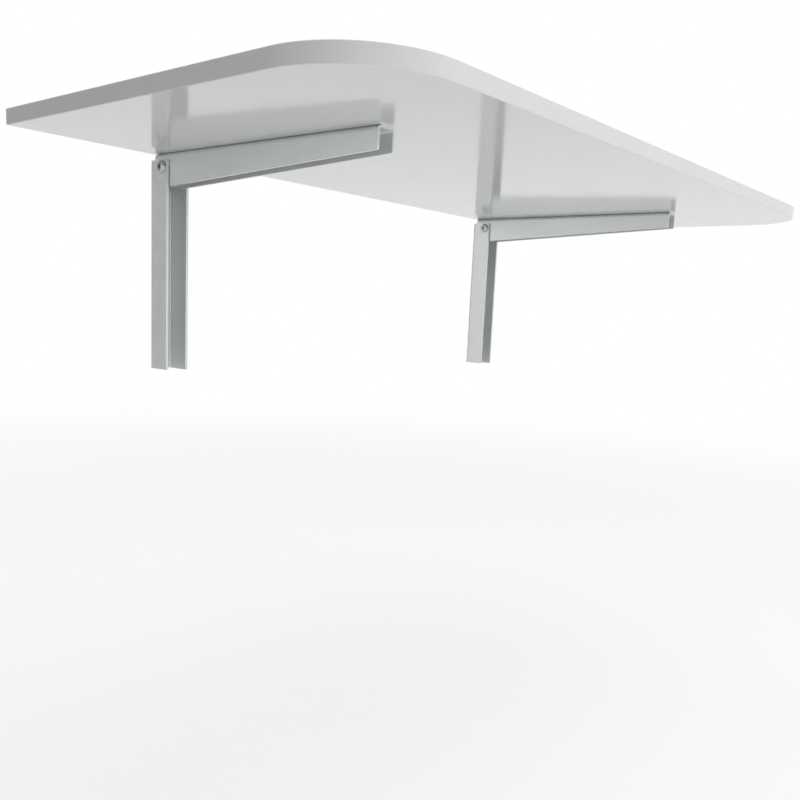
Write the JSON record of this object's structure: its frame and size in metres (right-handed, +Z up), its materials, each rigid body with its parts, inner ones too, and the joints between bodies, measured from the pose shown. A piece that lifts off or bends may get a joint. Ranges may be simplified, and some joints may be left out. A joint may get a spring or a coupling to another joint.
{
  "type": "wall mounted drop leaf table",
  "caption": "Wall-mounted drop-leaf table: a gloss laminated board with rounded front corners on folding steel channel brackets; it drops to hang flat by the wall.",
  "frame": {"origin": "Centre of the rectangle of the outer wall-screw holes, on the wall plane that the backs of the wall channels touch.", "axes": "X runs along the wall, towards the user's right when facing the wall; Y points into the wall, so the open leaf reaches towards -Y; Z is up."},
  "size_m": [1, 0.5, 0.264],
  "materials": {
    "laminate": "high-gloss white laminate",
    "edging": "high-gloss white edging",
    "board": "bare particle board, hidden",
    "zinc_steel": "bright zinc-plated sheet steel",
    "fastener_steel": "zinc-plated fastener steel",
    "nylon": "natural nylon"
  },
  "bodies": {
    "brackets": {"left_wall_channel": "zinc_steel", "left_hinge_pin": "fastener_steel", "left_hinge_spacer": "nylon", "left_hinge_washers": "nylon", "left_stop_bolt": "fastener_steel", "left_stop_sleeve": "fastener_steel", "left_stop_nut": "fastener_steel", "right_wall_channel": "zinc_steel", "right_hinge_pin": "fastener_steel", "right_hinge_spacer": "nylon", "right_hinge_washers": "nylon", "right_stop_bolt": "fastener_steel", "right_stop_sleeve": "fastener_steel", "right_stop_nut": "fastener_steel"},
    "leaf": {"board_core": "board", "top_laminate": "laminate", "underside_laminate": "laminate", "edge_band": "edging", "left_arm_channel": "zinc_steel", "left_arm_screws": "fastener_steel", "right_arm_channel": "zinc_steel", "right_arm_screws": "fastener_steel"}
  },
  "joints": [
    {"name": "leaf_fold", "type": "hinge", "parent": "brackets", "child": "leaf", "pos_m": [0, -0.016, 0.1167], "axis": [1, 0, 0], "range_deg": [0, 90]}
  ]
}
